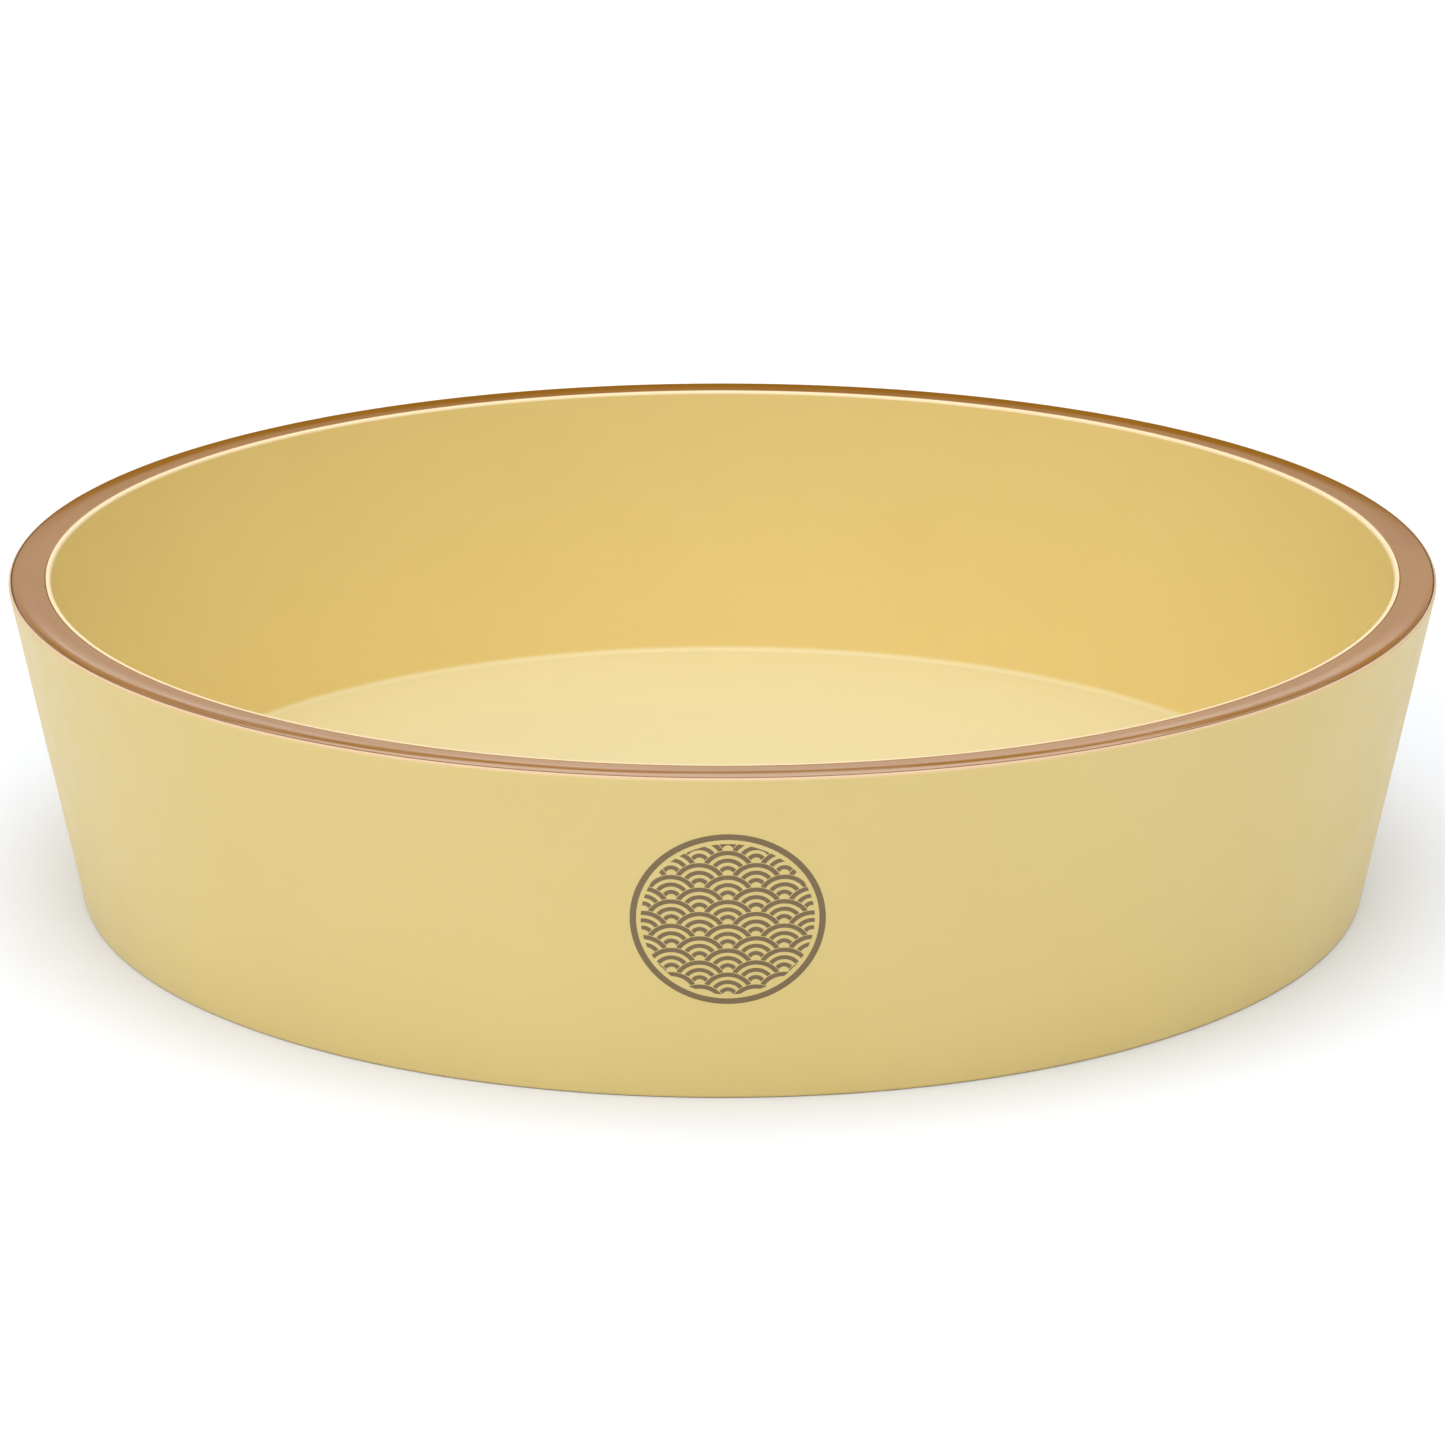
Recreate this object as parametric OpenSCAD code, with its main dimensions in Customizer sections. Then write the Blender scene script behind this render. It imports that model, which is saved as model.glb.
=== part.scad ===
// Sushi rice tub: a wide, low round tub with a leaning wall, moulded in one
// piece, and a coloured ring let into a channel in the top of its rim.
// Millimetres. The origin is on the ground at the centre, and +Z is up.

/* [Tub] */
// Diameter across the rim at its widest
rim_d = 540; // [420:1:700]
// Diameter at the ground, where the line of the outer wall meets it
foot_d = 492; // [400:1:530]
// Height from the ground to the top of the rim
tub_h = 124.5; // [90:0.5:200]
// Thickness of the wall, measured level
wall_t = 16; // [12:0.5:24]
// Height of the inner floor above the ground
floor_h = 16.5; // [12:0.5:30]

/* [Edges] */
// Radius on the rim's outer edge
rim_outer_r = 1.4; // [0.9:0.1:2]
// Radius on the rim's inner edge
rim_inner_r = 0.8; // [0.5:0.1:1.5]
// Radius in the corner between the inner wall and the floor
floor_fillet_r = 2.5; // [1:0.5:12]
// Radius on the outer edge of the foot
foot_edge_r = 1.5; // [1:0.5:6]

/* [Rim ring] */
// Width of the lip of the tub that stays outside the ring
outer_lip_w = 0.8; // [0.6:0.1:3]
// Width of the lip of the tub that stays inside the ring
inner_lip_w = 1.8; // [1.5:0.1:3]
// Thickness of the ring, from its seat to its flat top
ring_t = 4; // [2:0.5:8]
// Gap between the ring and each side of its channel
ring_gap = 0.1; // [0.05:0.05:0.3]
// Radius on the ring's two top edges
ring_edge_r = 0.4; // [0.2:0.1:0.9]
// Width of the crowned outer part of the ring's top
crown_w = 8.5; // [5:0.1:9]
// How far the crown falls from the flat part to the ring's outer side
crown_fall = 0.2; // [0.05:0.05:0.5]

/* [Underside] */
// Depth of the recess under the floor
recess_h = 4; // [1:0.5:7]
// Width of the standing ring round the recess, at the ground
stand_w = 24; // [16:1:40]
// Radius in the corner at the top of the recess
recess_fillet_r = 3; // [1:0.5:4]
// Radius on the inner edge of the standing ring
stand_edge_r = 1; // [0.5:0.5:2]

/* [Hidden] */

// Steps in a full turn of the tub, in the small circles of its section, and
// in the large circle of the ring's crown
turn_steps = 180;
edge_steps = 32;
crown_steps = 720;

// How far a cutting outline reaches past the face that it opens
cut_past = 1;

// Height of the ring's seat
seat_z = tub_h - ring_t;

// Centre of the rim's outer edge. The outer wall starts at the foot and is
// tangent to this edge, which gives the angle by which the wall leans out.
rim_c = [rim_d / 2 - rim_outer_r, tub_h - rim_outer_r];
foot_to_rim = rim_c - [foot_d / 2, 0];
lean = atan2(foot_to_rim.x, foot_to_rim.y) + asin(rim_outer_r / norm(foot_to_rim));

// Direction square to the wall, outwards
wall_normal = [cos(lean), -sin(lean)];

// Radius of the outer and of the inner wall at a height
function outer_r(z) = foot_d / 2 + z * tan(lean);
function inner_r(z) = outer_r(z) - wall_t;

// Radius at a height of a side that leans with the wall and is at top_r at the
// rim's top
function leaning_r(top_r, z) = top_r - (tub_h - z) * tan(lean);

// Centres of the other rounded edges that touch the leaning wall
foot_c = [outer_r(foot_edge_r) - foot_edge_r / cos(lean), foot_edge_r];
inner_rim_c = [inner_r(tub_h - rim_inner_r) + rim_inner_r / cos(lean), tub_h - rim_inner_r];
fillet_z = floor_h + floor_fillet_r;
fillet_c = [inner_r(fillet_z) - floor_fillet_r / cos(lean), fillet_z];

// Sides of the channel, and of the ring that lies in it, at the rim's top.
// The inner side is upright, and the outer side leans with the wall.
channel_in_r = inner_r(tub_h) + inner_lip_w;
channel_out_r = rim_d / 2 - outer_lip_w;
ring_in_r = channel_in_r + ring_gap;
ring_out_r = channel_out_r - ring_gap;

// Crown of the ring: a large arc, tangent to the flat part where it starts
crown_r = (pow(crown_w, 2) + pow(crown_fall, 2)) / (2 * crown_fall);
crown_c = [ring_out_r - crown_w, tub_h - crown_r];

// Centres of the ring's rounded top edges. The outer one touches the crown
// and the leaning side, crown_angle degrees round the crown from its start.
ring_in_c = [ring_in_r + ring_edge_r, tub_h - ring_edge_r];
side_reach = ([ring_out_r, tub_h] - crown_c) * wall_normal;
crown_angle = lean + asin((side_reach - ring_edge_r) / (crown_r - ring_edge_r));
crown_dir = [sin(crown_angle), cos(crown_angle)];
ring_out_c = crown_c + (crown_r - ring_edge_r) * crown_dir;
crown_end = crown_c + crown_r * crown_dir;

// Side of the recess under the floor
recess_r = foot_d / 2 - stand_w;

module disc_at(centre, radius) {
    translate(centre)
        circle(r = radius, $fn = edge_steps);
}

// Outside of the tub, filled up to the rim
module outside_section() {
    polygon([
        [0, 0],
        [foot_c.x, 0],
        foot_c + foot_edge_r * wall_normal,
        rim_c + rim_outer_r * wall_normal,
        [rim_c.x, tub_h],
        [0, tub_h]
    ]);
    disc_at(foot_c, foot_edge_r);
    disc_at(rim_c, rim_outer_r);
}

// Space inside the tub, with the fillet round its floor
module inside_section() {
    polygon([
        [0, floor_h],
        [fillet_c.x, floor_h],
        fillet_c + floor_fillet_r * wall_normal,
        inner_rim_c - rim_inner_r * wall_normal,
        [inner_rim_c.x, tub_h],
        [inner_rim_c.x, tub_h + cut_past],
        [0, tub_h + cut_past]
    ]);
    disc_at(fillet_c, floor_fillet_r);
}

// Channel in the top of the wall, which holds the ring
module channel_section() {
    polygon([
        [channel_in_r, seat_z],
        [leaning_r(channel_out_r, seat_z), seat_z],
        [leaning_r(channel_out_r, tub_h + cut_past), tub_h + cut_past],
        [channel_in_r, tub_h + cut_past]
    ]);
}

// Recess that lifts the middle of the underside off the ground
module recess_section() {
    corner_c = [recess_r - recess_fillet_r, recess_h - recess_fillet_r];
    difference() {
        union() {
            translate([0, -cut_past])
                square([recess_r, recess_h + cut_past]);
            translate([recess_r, -cut_past])
                square([stand_edge_r, stand_edge_r + cut_past]);
        }
        disc_at([recess_r + stand_edge_r, stand_edge_r], stand_edge_r);
        difference() {
            translate(corner_c)
                square(recess_fillet_r + cut_past);
            disc_at(corner_c, recess_fillet_r);
        }
    }
}

module tub_section() {
    difference() {
        union() {
            difference() {
                outside_section();
                inside_section();
            }
            disc_at(inner_rim_c, rim_inner_r);
        }
        channel_section();
        recess_section();
    }
}

module ring_section() {
    polygon([
        [ring_in_r, seat_z],
        [leaning_r(ring_out_r, seat_z), seat_z],
        ring_out_c + ring_edge_r * wall_normal,
        crown_end,
        [crown_c.x, tub_h],
        [ring_in_c.x, tub_h],
        [ring_in_r, ring_in_c.y]
    ]);
    disc_at(ring_in_c, ring_edge_r);
    disc_at(ring_out_c, ring_edge_r);
    intersection() {
        translate(crown_c)
            circle(r = crown_r, $fn = crown_steps);
        polygon([
            [crown_c.x, ring_out_c.y],
            ring_out_c,
            crown_end,
            [crown_end.x, tub_h],
            [crown_c.x, tub_h]
        ]);
    }
}

// Tub: one cream plastic moulding
module tub() {
    color([0.94, 0.85, 0.64])
        rotate_extrude($fn = turn_steps)
            tub_section();
}

// Ring: a brown plastic band, pressed into the channel and flush with the rim
module rim_ring() {
    color([0.62, 0.44, 0.24])
        rotate_extrude($fn = turn_steps)
            ring_section();
}

tub();
rim_ring();
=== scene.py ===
"""Looks of the sushi rice tub, built round its packed construction."""
import math

import bmesh
import bpy
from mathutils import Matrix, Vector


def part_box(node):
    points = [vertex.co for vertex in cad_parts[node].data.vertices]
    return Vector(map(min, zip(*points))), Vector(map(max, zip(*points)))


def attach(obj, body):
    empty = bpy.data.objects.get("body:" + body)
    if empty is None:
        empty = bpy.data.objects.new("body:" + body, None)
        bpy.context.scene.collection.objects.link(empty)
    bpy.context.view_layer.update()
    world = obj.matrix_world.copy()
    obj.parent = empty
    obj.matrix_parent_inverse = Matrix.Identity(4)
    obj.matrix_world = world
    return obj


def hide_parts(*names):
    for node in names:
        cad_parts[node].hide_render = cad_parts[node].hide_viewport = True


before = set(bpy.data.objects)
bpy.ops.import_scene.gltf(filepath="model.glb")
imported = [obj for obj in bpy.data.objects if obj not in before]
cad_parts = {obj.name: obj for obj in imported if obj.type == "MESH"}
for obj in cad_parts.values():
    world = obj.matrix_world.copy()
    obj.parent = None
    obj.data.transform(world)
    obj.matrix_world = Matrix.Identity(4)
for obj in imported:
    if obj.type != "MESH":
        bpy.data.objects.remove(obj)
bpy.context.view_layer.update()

# Viewing place: the camera stands in front of the tub and looks down at it at
# the photograph's angle, with a long lens, so that the rim is a flat ellipse.
CAMERA_PLACE = (0.0, -2.0784, 0.7192)
CAMERA_TILT = math.radians(72.36)
CAMERA_LENS = 141.4
CAMERA_SENSOR = 36.0

camera = bpy.data.objects.new("camera", bpy.data.cameras.new("camera"))
camera.data.lens = CAMERA_LENS
camera.data.sensor_width = CAMERA_SENSOR
camera.location = CAMERA_PLACE
camera.rotation_euler = (CAMERA_TILT, 0.0, 0.0)
bpy.context.scene.collection.objects.link(camera)
bpy.context.scene.camera = camera

# Tub: the vessel itself, one thick moulding in cream polyethylene. Its wall
# leans out and is equally thick all the way up. The rim is moulded with a
# channel in its top, and the foot is a flat ring round a shallow recess.
tub_low, tub_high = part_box("tub")
rim_radius = tub_high.x
tub_height = tub_high.z
foot_radius = 0.246
wall_thickness = 0.016
floor_height = 0.0165
rim_outer_round = 0.0014
rim_inner_round = 0.0012
floor_round = 0.0025
foot_round = 0.0015
outer_lip = 0.0008
inner_lip = 0.0018
channel_depth = 0.004
recess_height = 0.004
stand_width = 0.024
recess_round = 0.003
stand_round = 0.001
lip_round = 0.0001

# Steps in a full turn, the most that one step of an arc turns by, and how far
# an extra point lies from each end of a long straight stretch of a section
TURN_STEPS = 720
ARC_STEP = math.radians(9)
SUPPORT_GAP = 0.0004

channel_floor = tub_height - channel_depth
rim_centre = (rim_radius - rim_outer_round, tub_height - rim_outer_round)
lean_run = rim_centre[0] - foot_radius
lean_rise = rim_centre[1]
lean = math.atan2(lean_run, lean_rise) + math.asin(rim_outer_round / math.hypot(lean_run, lean_rise))
lean_deg = math.degrees(lean)


def outer_radius(height):
    """Radius of the outer wall at a height."""
    return foot_radius + height * math.tan(lean)


def inner_radius(height):
    """Radius of the inner wall at a height."""
    return outer_radius(height) - wall_thickness


def leaning_radius(top_radius, height):
    """Radius at a height of a side that leans with the wall and ends at the rim's top."""
    return top_radius - (tub_height - height) * math.tan(lean)


def arc(centre, radius, start_deg, end_deg):
    """Points of a round stretch of a section, as (radius from the axis, height)."""
    start, end = math.radians(start_deg), math.radians(end_deg)
    steps = max(3, math.ceil(abs(end - start) / ARC_STEP))
    angles = [start + (end - start) * i / steps for i in range(steps + 1)]
    return [(centre[0] + radius * math.cos(a), centre[1] + radius * math.sin(a)) for a in angles]


def with_supports(points):
    """The same outline, with a point near each end of every long straight stretch off the axis."""
    out = [points[0]]
    for a, b in zip(points, points[1:]):
        length = math.dist(a, b)
        if length > 4 * SUPPORT_GAP:
            for end, share in ((a, SUPPORT_GAP / length), (b, 1 - SUPPORT_GAP / length)):
                if end[0] > 0:
                    out.append((a[0] + (b[0] - a[0]) * share, a[1] + (b[1] - a[1]) * share))
        out.append(b)
    return out


channel_inside = inner_radius(tub_height) + inner_lip
channel_outside = rim_radius - outer_lip
lip_end_reach = rim_outer_round - lip_round
lip_end_deg = math.degrees(math.acos((channel_outside + lip_round - rim_centre[0]) / lip_end_reach))
lip_end_centre = (
    rim_centre[0] + lip_end_reach * math.cos(math.radians(lip_end_deg)),
    rim_centre[1] + lip_end_reach * math.sin(math.radians(lip_end_deg)),
)
recess_radius = foot_radius - stand_width
foot_centre = (outer_radius(foot_round) - foot_round / math.cos(lean), foot_round)
inner_rim_height = tub_height - rim_inner_round
inner_rim_centre = (inner_radius(inner_rim_height) + rim_inner_round / math.cos(lean), inner_rim_height)
fillet_height = floor_height + floor_round
fillet_centre = (inner_radius(fillet_height) - floor_round / math.cos(lean), fillet_height)

tub_outline = (
    [(0.0, recess_height)]
    + arc((recess_radius - recess_round, recess_height - recess_round), recess_round, 90, 0)
    + arc((recess_radius + stand_round, stand_round), stand_round, 180, 270)
    + arc(foot_centre, foot_round, -90, -lean_deg)
    + arc(rim_centre, rim_outer_round, -lean_deg, lip_end_deg)
    + arc(lip_end_centre, lip_round, lip_end_deg, 180 - lean_deg)[1:]
    + [(leaning_radius(channel_outside, channel_floor), channel_floor), (channel_inside, channel_floor)]
    + arc((channel_inside - lip_round, tub_height - lip_round), lip_round, 0, 90)
    + arc(inner_rim_centre, rim_inner_round, 90, 180 - lean_deg)
    + arc(fillet_centre, floor_round, -lean_deg, -90)
    + [(0.0, floor_height)]
)


def turning_tree():
    """Geometry nodes that turn an open or closed outline into a body round the upright axis."""
    tree = bpy.data.node_groups.new("turned body", "GeometryNodeTree")
    face = tree.interface
    face.new_socket("Outline", in_out="INPUT", socket_type="NodeSocketGeometry")
    face.new_socket("Turn steps", in_out="INPUT", socket_type="NodeSocketInt")
    face.new_socket("Path radius", in_out="INPUT", socket_type="NodeSocketFloat")
    face.new_socket("Weld distance", in_out="INPUT", socket_type="NodeSocketFloat")
    face.new_socket("Finish", in_out="INPUT", socket_type="NodeSocketMaterial")
    face.new_socket("Body", in_out="OUTPUT", socket_type="NodeSocketGeometry")
    nodes, link = tree.nodes, tree.links.new
    entry = nodes.new("NodeGroupInput")
    outline = nodes.new("GeometryNodeMeshToCurve")
    circle = nodes.new("GeometryNodeCurvePrimitiveCircle")
    sweep = nodes.new("GeometryNodeCurveToMesh")
    weld = nodes.new("GeometryNodeMergeByDistance")
    smooth = nodes.new("GeometryNodeSetShadeSmooth")
    realize = nodes.new("GeometryNodeRealizeInstances")
    finish = nodes.new("GeometryNodeSetMaterial")
    leave = nodes.new("NodeGroupOutput")
    link(entry.outputs["Outline"], outline.inputs["Mesh"])
    link(entry.outputs["Turn steps"], circle.inputs["Resolution"])
    link(entry.outputs["Path radius"], circle.inputs["Radius"])
    link(circle.outputs["Curve"], sweep.inputs["Curve"])
    link(outline.outputs["Curve"], sweep.inputs["Profile Curve"])
    link(sweep.outputs["Mesh"], weld.inputs["Geometry"])
    link(entry.outputs["Weld distance"], weld.inputs["Distance"])
    link(weld.outputs["Geometry"], smooth.inputs["Geometry"])
    link(smooth.outputs["Geometry"], realize.inputs["Geometry"])
    link(realize.outputs["Geometry"], finish.inputs["Geometry"])
    link(entry.outputs["Finish"], finish.inputs["Material"])
    link(finish.outputs["Geometry"], leave.inputs["Body"])
    return tree


# Radius of the circle that a section is swept along, and the distance within
# which the sweep's points at the axis are joined
PATH_RADIUS = 0.2
WELD = 3e-6

turned_body = turning_tree()


def turn(name, outline, finish, closed=False):
    """A body turned from its outline, as a plain mesh object."""
    points = with_supports(outline + outline[:1] if closed else outline)
    if closed:
        points = points[:-1]
    count = len(points)
    edges = [(i, (i + 1) % count) for i in range(count if closed else count - 1)]
    section = bpy.data.meshes.new(name + " section")
    section.from_pydata([(r - PATH_RADIUS, -z, 0.0) for r, z in points], edges, [])
    blank = bpy.data.objects.new(name + " blank", section)
    bpy.context.scene.collection.objects.link(blank)
    step = blank.modifiers.new("turn", "NODES")
    step.node_group = turned_body
    values = {"Turn steps": TURN_STEPS, "Path radius": PATH_RADIUS, "Weld distance": WELD, "Finish": finish}
    for item in turned_body.interface.items_tree:
        if item.in_out == "INPUT" and item.name in values:
            step[item.identifier] = values[item.name]
    bpy.context.view_layer.update()
    seen = blank.evaluated_get(bpy.context.evaluated_depsgraph_get())
    mesh = bpy.data.meshes.new_from_object(seen)
    bpy.data.objects.remove(blank)
    shape = bmesh.new()
    shape.from_mesh(mesh)
    bmesh.ops.recalc_face_normals(shape, faces=shape.faces)
    shape.to_mesh(mesh)
    shape.free()
    mesh.name = name
    piece = bpy.data.objects.new(name, mesh)
    bpy.context.scene.collection.objects.link(piece)
    return piece


# Scales of the plastic's patterns, as noise cells in a metre. The streaks run
# round the axis, so they are coarse along their run and fine across it.
CLOUD_SCALE = 9.0
GRAIN_SCALE = 1400.0
WEAR_SCALE = 45.0
STREAK_SCALE_ALONG = 14.0
STREAK_SCALE_ACROSS = 900.0
BUMP_STRENGTH = 0.5

# Levels between which most of a noise pattern lies
NOISE_LOW, NOISE_HIGH = 0.3, 0.7


class NodeBench:
    """The node tree of a material or of the world, and the ways to fill it."""

    def __init__(self, owner):
        owner.use_nodes = True
        self.tree = owner.node_tree
        self.tree.nodes.clear()

    def feed(self, socket, value):
        """Links a socket to another one, or sets it to a number, a vector or a colour."""
        if isinstance(value, bpy.types.NodeSocket):
            self.tree.links.new(value, socket)
        elif socket.type == "RGBA":
            socket.default_value = (*value, 1.0)
        else:
            socket.default_value = value

    def add(self, kind, **values):
        """A new node. Each value is for a socket, with _ for a space in its name, or a setting."""
        node = self.tree.nodes.new(kind)
        for key, value in values.items():
            socket_name = key.replace("_", " ")
            if socket_name in node.inputs:
                self.feed(node.inputs[socket_name], value)
            else:
                setattr(node, key, value)
        return node

    def worked(self, operation, *values):
        """The result of one step of arithmetic on numbers and sockets."""
        node = self.add("ShaderNodeMath", operation=operation)
        for socket, value in zip(node.inputs, values):
            self.feed(socket, value)
        return node.outputs["Value"]

    def ranged(self, value, start, end, low=0.0, high=1.0):
        """A value that goes from low to high while another goes from start to end."""
        node = self.add(
            "ShaderNodeMapRange", Value=value, From_Min=start, From_Max=end, To_Min=low, To_Max=high
        )
        return node.outputs["Result"]

    def noise(self, place, scale, detail):
        """The level of a noise pattern at a place."""
        return self.add("ShaderNodeTexNoise", Vector=place, Scale=scale, Detail=detail).outputs["Fac"]

    def between(self, pattern, low, high):
        """A value from low to high that follows a noise pattern."""
        return self.ranged(pattern, NOISE_LOW, NOISE_HIGH, low, high)

    def mixed(self, share, first, second):
        """A colour that goes from the first to the second as the share goes from 0 to 1."""
        mix = self.add("ShaderNodeMix", data_type="RGBA", Factor=share)
        sockets = [s for s in mix.inputs if s.type == "RGBA"]
        for socket, colour in zip(sockets, (first, second)):
            self.feed(socket, colour)
        return [s for s in mix.outputs if s.type == "RGBA"][0]


def axis_measures(bench, place):
    """A place's level parts, its height, and its radius from the upright axis."""
    parts = bench.add("ShaderNodeSeparateXYZ", Vector=place).outputs
    level = bench.add("ShaderNodeCombineXYZ", X=parts["X"], Y=parts["Y"])
    length = bench.add("ShaderNodeVectorMath", operation="LENGTH", Vector=level.outputs["Vector"])
    return {"x": parts["X"], "y": parts["Y"], "height": parts["Z"], "radius": length.outputs["Value"]}


def moulded_plastic(name, light, dark, roughness, grain, zones=(), streaks=0.0):
    """Satin moulded plastic: faint clouds in the colour, and a fine even grain.

    A zone is (colour, limits): each limit is ("radius" or "height", where the
    zone's colour is absent, where it is full). The grain and the streaks, which
    are fine turned lines round the axis, are given by their depths.
    """
    material = bpy.data.materials.new(name)
    bench = NodeBench(material)
    place = bench.add("ShaderNodeTexCoord").outputs["Object"]
    measures = axis_measures(bench, place)
    clouds = bench.between(bench.noise(place, CLOUD_SCALE, detail=3.0), 0.0, 1.0)
    colour = bench.mixed(clouds, light, dark)
    for zone_colour, limits in zones:
        inside = 1.0
        for measure, absent, full in limits:
            inside = bench.worked("MULTIPLY", inside, bench.ranged(measures[measure], absent, full))
        colour = bench.mixed(inside, colour, zone_colour)
    pits = bench.noise(place, GRAIN_SCALE, detail=2.0)
    relief = bench.add("ShaderNodeBump", Strength=BUMP_STRENGTH, Distance=grain, Height=pits)
    if streaks:
        lines = bench.add(
            "ShaderNodeCombineXYZ",
            X=bench.worked("MULTIPLY", measures["x"], STREAK_SCALE_ALONG),
            Y=bench.worked("MULTIPLY", measures["y"], STREAK_SCALE_ALONG),
            Z=bench.worked("MULTIPLY", measures["radius"], STREAK_SCALE_ACROSS),
        )
        worn = bench.noise(lines.outputs["Vector"], scale=1.0, detail=3.0)
        relief = bench.add(
            "ShaderNodeBump",
            Strength=BUMP_STRENGTH,
            Distance=streaks,
            Height=worn,
            Normal=relief.outputs["Normal"],
        )
    else:
        worn = bench.noise(place, WEAR_SCALE, detail=3.0)
    coat = bench.add("ShaderNodeBsdfPrincipled", Base_Color=colour, Normal=relief.outputs["Normal"])
    bench.feed(coat.inputs["Roughness"], bench.between(worn, *roughness))
    bench.add("ShaderNodeOutputMaterial", Surface=coat.outputs["BSDF"])
    return material


# Painted light on the tub. The inner floor is painted greyer than the wall,
# a painted sheen for the gloss it shows. The rim's outer lip is painted a
# little duller and pinker, painted shade on its rounding, and its inner lip is
# painted paler, a painted highlight on its rounding.
floor_edge = inner_radius(floor_height)
above_floor = ("height", floor_height + 0.0022, floor_height + 0.0002)
off_wall = ("radius", floor_edge + 0.004, floor_edge + 0.002)
rim_top = ("height", tub_height - 0.0012, tub_height - 0.0009)
within_ring = ("radius", channel_inside + 0.004, channel_inside + 0.002)
cream = moulded_plastic(
    "cream polyethylene",
    light=(0.71, 0.55, 0.205),
    dark=(0.69, 0.53, 0.19),
    roughness=(0.36, 0.46),
    grain=0.00003,
    zones=[
        # painted sheen: the inner floor, greyer than the wall
        ((0.65, 0.56, 0.31), (above_floor, off_wall)),
        # painted shade: the rim's top, duller and pinker, which stays on the outer lip
        ((0.69, 0.48, 0.27), (rim_top,)),
        # painted highlight: the inner lip, paler
        ((0.81, 0.65, 0.39), (rim_top, within_ring)),
    ],
)
tub = turn("tub_shell", tub_outline, cream)
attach(tub, "root")
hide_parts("tub")

# Rim ring: a brown plastic band pressed into the channel in the rim. Its top
# is flat on the inside and crowned on the outside, where it falls to the lip.
ring_gap = 0.0001
ring_edge = 0.0004
crown_width = 0.0085
crown_fall = 0.0002
CROWN_STEPS = 24

ring_inside = channel_inside + ring_gap
ring_outside = channel_outside - ring_gap
crown_radius = (crown_width**2 + crown_fall**2) / (2 * crown_fall)
crown_centre = (ring_outside - crown_width, tub_height - crown_radius)
side_reach = crown_width * math.cos(lean) - crown_radius * math.sin(lean)
crown_angle = lean + math.asin((side_reach - ring_edge) / (crown_radius - ring_edge))


def on_crown(angle, inset=0.0):
    """A point of the crown's large arc, or inset from it, by its angle from upright."""
    radius = crown_radius - inset
    return (crown_centre[0] + radius * math.sin(angle), crown_centre[1] + radius * math.cos(angle))


ring_outline = (
    [(ring_inside, channel_floor), (leaning_radius(ring_outside, channel_floor), channel_floor)]
    + arc(on_crown(crown_angle, ring_edge), ring_edge, -lean_deg, 90 - math.degrees(crown_angle))
    + [on_crown(crown_angle * (1 - i / CROWN_STEPS)) for i in range(1, CROWN_STEPS + 1)]
    + arc((ring_inside + ring_edge, tub_height - ring_edge), ring_edge, 90, 180)
)

# The ring is painted darker at its outer edge, a painted dark reflection.
painted_reflection_edge = ("radius", ring_outside - 0.0008, ring_outside - 0.0006)
brown = moulded_plastic(
    "brown plastic",
    light=(0.335, 0.14, 0.012),
    dark=(0.29, 0.12, 0.01),
    roughness=(0.03, 0.11),
    grain=0.000002,
    # painted dark reflection along the ring's outer edge
    zones=[((0.16, 0.055, 0.007), (painted_reflection_edge,))],
    streaks=0.000012,
)
ring = turn("rim_band", ring_outline, brown, closed=True)
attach(ring, "root")
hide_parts("rim_ring")

# Front print: a round crest of overlapping waves, a traditional pattern,
# screen printed on the wall in brown ink. It lies on the wall's cone.
crest_radius = 0.0335
crest_height = 0.0705
crest_shift = 0.0018
border_width = 0.0022
border_gap = 0.0016
wave_radius = 0.0096
wave_lines = ((0.97, 0.80), (0.66, 0.50), (0.36, 0.20))
ink_thickness = 0.00006
smallest_mark_area = 0.8e-6
join_distance = 1e-6

# Steps in a full circle of the drawing, rows of faces across a line, and how
# often a step is halved to find the place where a line ends
CIRCLE_STEPS = 180
LINE_ROWS = 4
HALVINGS = 20


def on_wall(across, up, lift):
    """The place on the outer wall for a point of the flat drawing."""
    height = crest_height + up * math.cos(lean)
    radius = outer_radius(height) + lift * math.cos(lean)
    angle = (across + crest_shift) / outer_radius(height)
    return (radius * math.sin(angle), -radius * math.cos(angle), height - lift * math.sin(lean))


def spans(centre, radius, shown):
    """Stretches of angle where a circle of the drawing is shown."""

    def visible(angle):
        return shown(centre[0] + radius * math.cos(angle), centre[1] + radius * math.sin(angle))

    def border(inside, outside):
        for _ in range(HALVINGS):
            middle = (inside + outside) / 2
            if visible(middle):
                inside = middle
            else:
                outside = middle
        return inside

    step = math.tau / CIRCLE_STEPS
    angles = [-math.pi / 2 + i * step for i in range(CIRCLE_STEPS + 1)]
    found = []
    start = angles[0] if visible(angles[0]) else None
    for a, b in zip(angles, angles[1:]):
        if start is None and visible(b):
            start = border(b, a)
        elif start is not None and not visible(b):
            found.append((start, border(a, b)))
            start = None
    if start is not None:
        found.append((start, angles[-1]))
    return found


def strips(first, second):
    """Stretches of two neighbouring rows that overlap, cut so that no part is used twice."""
    pairs = [(a, b) for a in first for b in second if min(a[1], b[1]) > max(a[0], b[0])]
    found = [[*a, *b] for a, b in pairs]
    for i in range(len(pairs) - 1):
        (a, b), (next_a, next_b) = pairs[i], pairs[i + 1]
        if a == next_a:
            found[i][1] = found[i + 1][0] = (b[1] + next_b[0]) / 2
        if b == next_b:
            found[i][3] = found[i + 1][2] = (a[1] + next_a[0]) / 2
    return found


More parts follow.
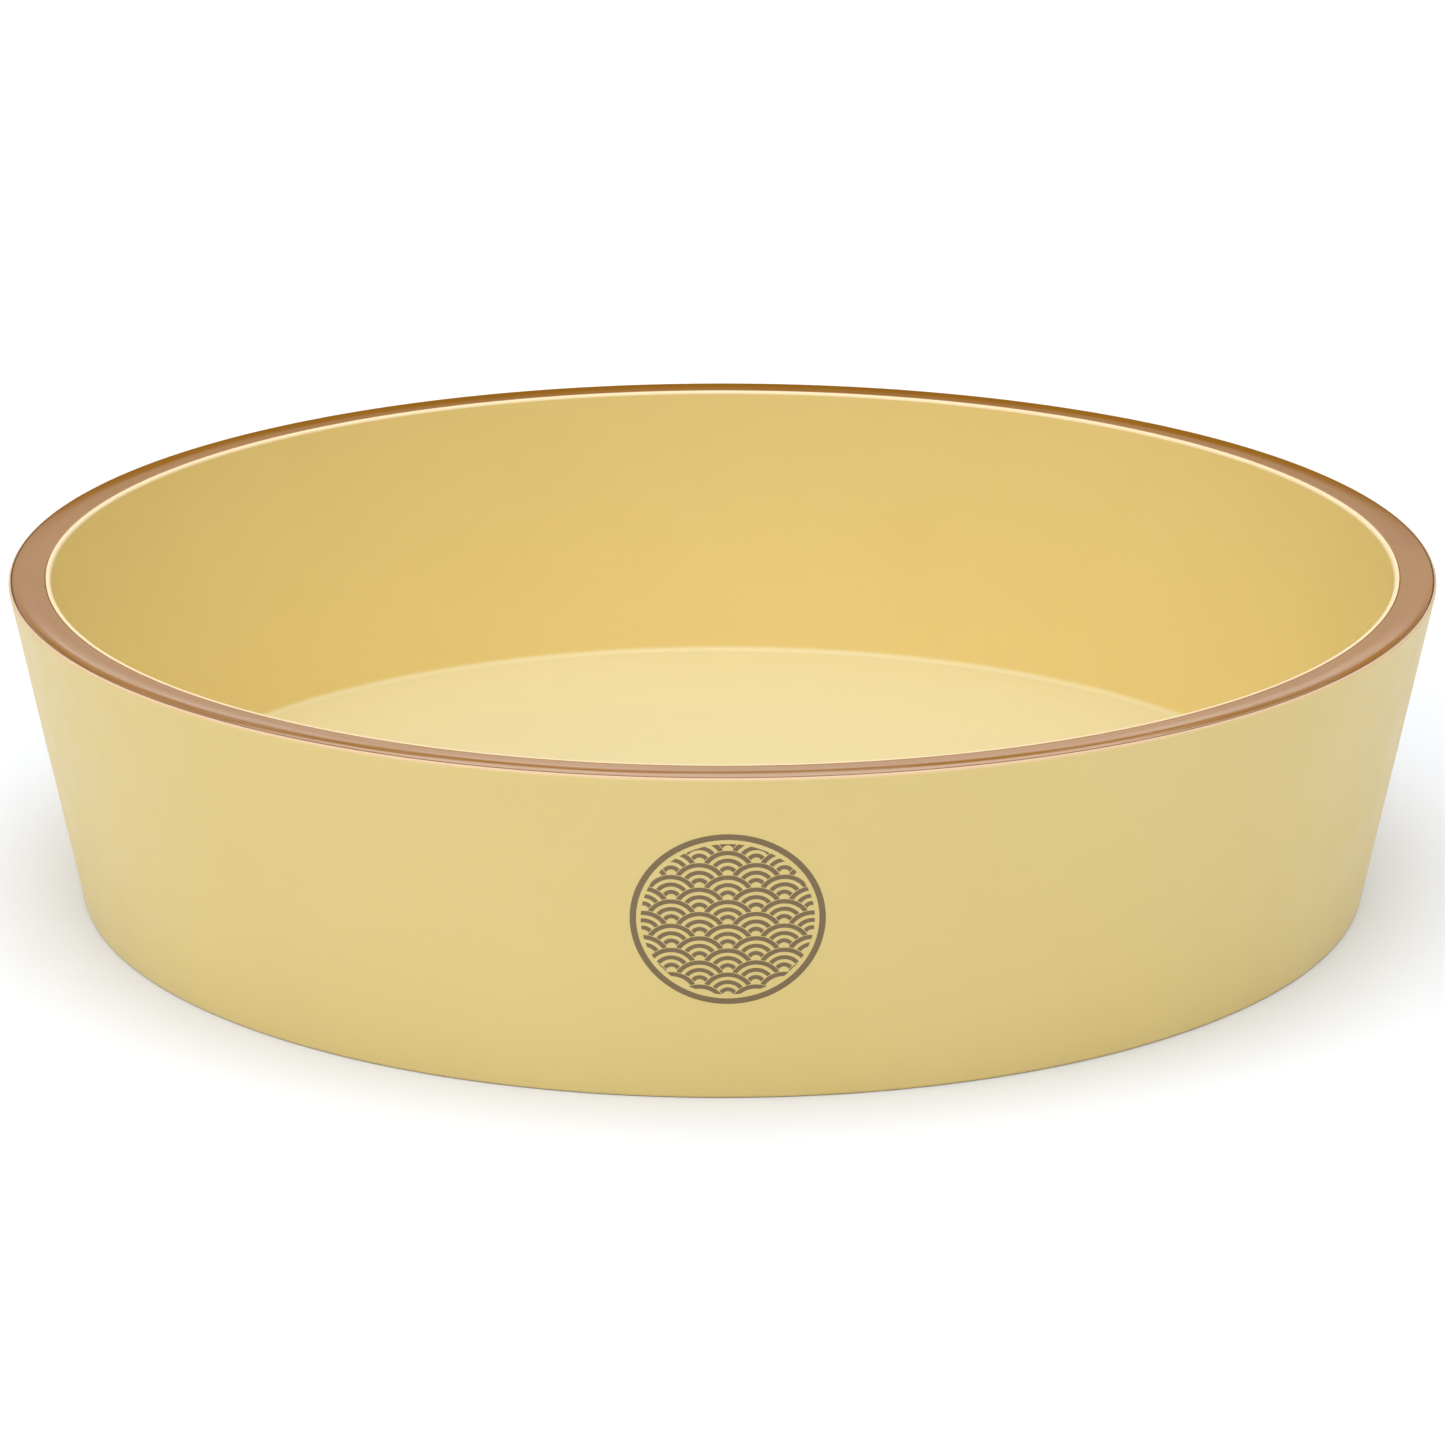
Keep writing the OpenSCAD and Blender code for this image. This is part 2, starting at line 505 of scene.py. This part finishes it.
def line_faces(centre, outer, inner, shown, verts, faces):
    """Adds the shown stretches of one round line of ink, unless only a crumb of it is shown."""
    radii = [outer + (inner - outer) * i / LINE_ROWS for i in range(LINE_ROWS + 1)]
    rows = [spans(centre, r, shown) for r in radii]
    length = sum((high - low) * r for row, r in zip(rows, radii) for low, high in row)
    area = length * (outer - inner) / len(radii)
    if area < smallest_mark_area:
        return
    longest = max(high - low for row in rows for low, high in row)
    count = max(2, round(longest / math.tau * CIRCLE_STEPS / 2))
    for i in range(LINE_ROWS):
        for a0, a1, b0, b1 in strips(rows[i], rows[i + 1]):
            base = len(verts)
            for k in range(count + 1):
                for radius, low, high in ((radii[i], a0, a1), (radii[i + 1], b0, b1)):
                    angle = low + (high - low) * k / count
                    verts.append((centre[0] + radius * math.cos(angle), centre[1] + radius * math.sin(angle)))
            for corner in range(base, base + 2 * count, 2):
                faces.append((corner, corner + 2, corner + 3, corner + 1))


def in_disc(x, y, centre, radius):
    """Whether a point of the drawing lies in a disc."""
    return math.hypot(x - centre[0], y - centre[1]) < radius


field_radius = crest_radius - border_width - border_gap
row_rise = wave_radius / 2
wave_rows = math.ceil(2 * field_radius / row_rise) + 2
wave_reach = math.ceil(field_radius / (2 * wave_radius)) + 1
crest_points, crest_faces = [], []
line_faces(
    (0.0, 0.0), crest_radius, crest_radius - border_width, lambda x, y: True, crest_points, crest_faces
)
for row in range(wave_rows):
    y0 = field_radius - (row + 0.5) * row_rise
    shift = wave_radius * (row % 2)
    for column in range(-wave_reach, wave_reach + 1):
        centre = (2 * wave_radius * column + shift, y0)
        nearer = [
            (centre[0] - wave_radius, y0 - row_rise),
            (centre[0] + wave_radius, y0 - row_rise),
            (centre[0], y0 - 2 * row_rise),
        ]

        def shown(x, y, nearer=nearer):
            clear = not any(in_disc(x, y, disc, wave_radius) for disc in nearer)
            return clear and in_disc(x, y, (0.0, 0.0), field_radius)

        for outer, inner in wave_lines:
            line_faces(centre, outer * wave_radius, inner * wave_radius, shown, crest_points, crest_faces)

crest_mesh = bpy.data.meshes.new("front_print")
crest_mesh.from_pydata([on_wall(x, y, ink_thickness) for x, y in crest_points], [], crest_faces)
crest_shape = bmesh.new()
crest_shape.from_mesh(crest_mesh)
bmesh.ops.remove_doubles(crest_shape, verts=crest_shape.verts, dist=join_distance)
for patch in crest_shape.faces:
    middle = patch.calc_center_median()
    patch.normal_update()
    if patch.normal.x * middle.x + patch.normal.y * middle.y < 0:
        patch.normal_flip()
bmesh.ops.solidify(crest_shape, geom=crest_shape.faces, thickness=ink_thickness)
crest_shape.to_mesh(crest_mesh)
crest_shape.free()
crest = bpy.data.objects.new("front_print", crest_mesh)
bpy.context.scene.collection.objects.link(crest)

ink = moulded_plastic(
    "brown ink", light=(0.19, 0.125, 0.05), dark=(0.18, 0.118, 0.047), roughness=(0.4, 0.5), grain=0.00002
)
crest_mesh.materials.append(ink)
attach(crest, "root")

# Floor and light: a wide white sweep under a white tent, with one soft lamp
# high on the left. The tent is dark near the horizon and has a dark seam.
floor_half = 12.0
floor_colour = (0.79, 0.82, 0.885)
floor_roughness = (0.85, 0.95)
FLOOR_CLOUD_SCALE = 3.0

corners = [(x * floor_half, y * floor_half, 0.0) for x, y in ((-1, -1), (1, -1), (1, 1), (-1, 1))]
floor_mesh = bpy.data.meshes.new("floor")
floor_mesh.from_pydata(corners, [], [(0, 1, 2, 3)])
floor = bpy.data.objects.new("floor", floor_mesh)
bpy.context.scene.collection.objects.link(floor)
floor_paint = bpy.data.materials.new("white sweep")
bench = NodeBench(floor_paint)
place = bench.add("ShaderNodeTexCoord").outputs["Object"]
clouds = bench.noise(place, FLOOR_CLOUD_SCALE, detail=2.0)
paint = bench.add(
    "ShaderNodeBsdfPrincipled", Base_Color=floor_colour, Roughness=bench.between(clouds, *floor_roughness)
)
bench.add("ShaderNodeOutputMaterial", Surface=paint.outputs["BSDF"])
floor_mesh.materials.append(floor_paint)

world = bpy.data.worlds.new("white tent")
bpy.context.scene.world = world
bench = NodeBench(world)
worked, ranged = bench.worked, bench.ranged
heading = bench.add("ShaderNodeTexCoord").outputs["Generated"]
split = bench.add("ShaderNodeSeparateXYZ", Vector=heading).outputs
rise = worked("MULTIPLY", worked("ARCSINE", split["Z"]), math.degrees(1.0))

# The tent's bands, as (degrees over the horizon, brightness). How far a place
# is to either side is the square of its heading's X. At SIDE_REACH and past it
# the bands start a degree lower.
TENT_BANDS = (
    (14.5, 0.0), (14.9, 0.4), (16.3, 0.62), (17.3, 0.62), (17.9, 0.8), (18.15, 1.5), (19.4, 1.6),
    (20.9, 1.6), (21.2, 2.1), (33.0, 1.7), (38.0, 1.12),
)
BANDS_START, BANDS_END = 13.0, 43.0
SIDE_REACH = 0.024
SIDE_DROP = 1.0
sideways = worked("MULTIPLY", split["X"], split["X"])
drop = worked("MINIMUM", worked("DIVIDE", sideways, SIDE_REACH), SIDE_DROP)
glow = bench.add("ShaderNodeValToRGB")
stops = glow.color_ramp.elements
for i, (degrees, level) in enumerate(TENT_BANDS):
    position = (degrees - BANDS_START) / (BANDS_END - BANDS_START)
    stop = stops[i] if i < len(stops) else stops.new(position)
    stop.position = position
    stop.color = (level, level, level, 1.0)
bench.feed(glow.inputs["Fac"], ranged(worked("ADD", rise, drop), BANDS_START, BANDS_END))

# The dark seam crosses the bands. Away from the middle its lower edge bends
# down, by BEND_SCALE degrees at BEND_REACH and by BEND_LIMIT at most, and it
# fades from FADE_START to FADE_END.
SEAM_START, SEAM_END = 19.4, 21.0
SEAM_SOFTNESS = 0.1
SEAM_LEVEL = 0.03
BEND_REACH = 0.0193
BEND_SCALE = 2.0
BEND_LIMIT = 2.4
FADE_START, FADE_END = 0.0225, 0.04
curve = worked("POWER", worked("DIVIDE", sideways, BEND_REACH), 3.0)
bend = worked("MINIMUM", worked("MULTIPLY", curve, BEND_SCALE), BEND_LIMIT)
bent = worked("ADD", rise, bend)
under = ranged(bent, SEAM_START - SEAM_SOFTNESS, SEAM_START + SEAM_SOFTNESS, 1.0, SEAM_LEVEL)
past = ranged(rise, SEAM_END - SEAM_SOFTNESS, SEAM_END + SEAM_SOFTNESS)
aside = ranged(sideways, FADE_START, FADE_END)
seam = worked("MAXIMUM", under, worked("MAXIMUM", past, aside))
banded = worked("MULTIPLY", glow.outputs["Color"], seam)

# The low part on the right is dimmer.
DIM_START, DIM_END = 0.15, 0.6
DIM_CHANGE = -0.55
LOW_PART_TOP, LOW_PART_END = 28.0, 44.0
rightward = ranged(split["X"], DIM_START, DIM_END, 0.0, DIM_CHANGE)
dimmed = worked("MULTIPLY", rightward, ranged(rise, LOW_PART_TOP, LOW_PART_END, 1.0, 0.0))
banded = worked("MULTIPLY_ADD", banded, dimmed, banded)

# Higher up the tent is brighter in front and on the right, and it is brightest
# right overhead.
TENT_LEAN = (0.3, -0.7, 0.0)
LEAN_START, LEAN_END = 20.0, 36.0
TOP_START, TOP_END = 66.0, 78.0
TOP_LEVEL = 2.5
slant = bench.add("ShaderNodeVectorMath", operation="DOT_PRODUCT")
bench.feed(slant.inputs[0], heading)
bench.feed(slant.inputs[1], TENT_LEAN)
uneven = worked("MULTIPLY_ADD", slant.outputs["Value"], ranged(rise, LEAN_START, LEAN_END), 1.0)
strength = worked("MULTIPLY_ADD", banded, uneven, ranged(rise, TOP_START, TOP_END, 0.0, TOP_LEVEL))
tent = bench.add("ShaderNodeBackground", Color=(1.0, 1.0, 1.0), Strength=strength)
bench.add("ShaderNodeOutputWorld", Surface=tent.outputs["Background"])

lamp = bpy.data.lights.new("high lamp", "AREA")
lamp.shape = "DISK"
lamp.size = 1.2
lamp.energy = 5.0
lamp_stand = bpy.data.objects.new("high lamp", lamp)
lamp_stand.location = (-1.6, -0.9, 2.2)
lamp_aim = (tub_low + tub_high) / 2 - lamp_stand.location
lamp_stand.rotation_euler = lamp_aim.to_track_quat("-Z", "Y").to_euler()
bpy.context.scene.collection.objects.link(lamp_stand)

bpy.context.scene.view_settings.view_transform = "Standard"
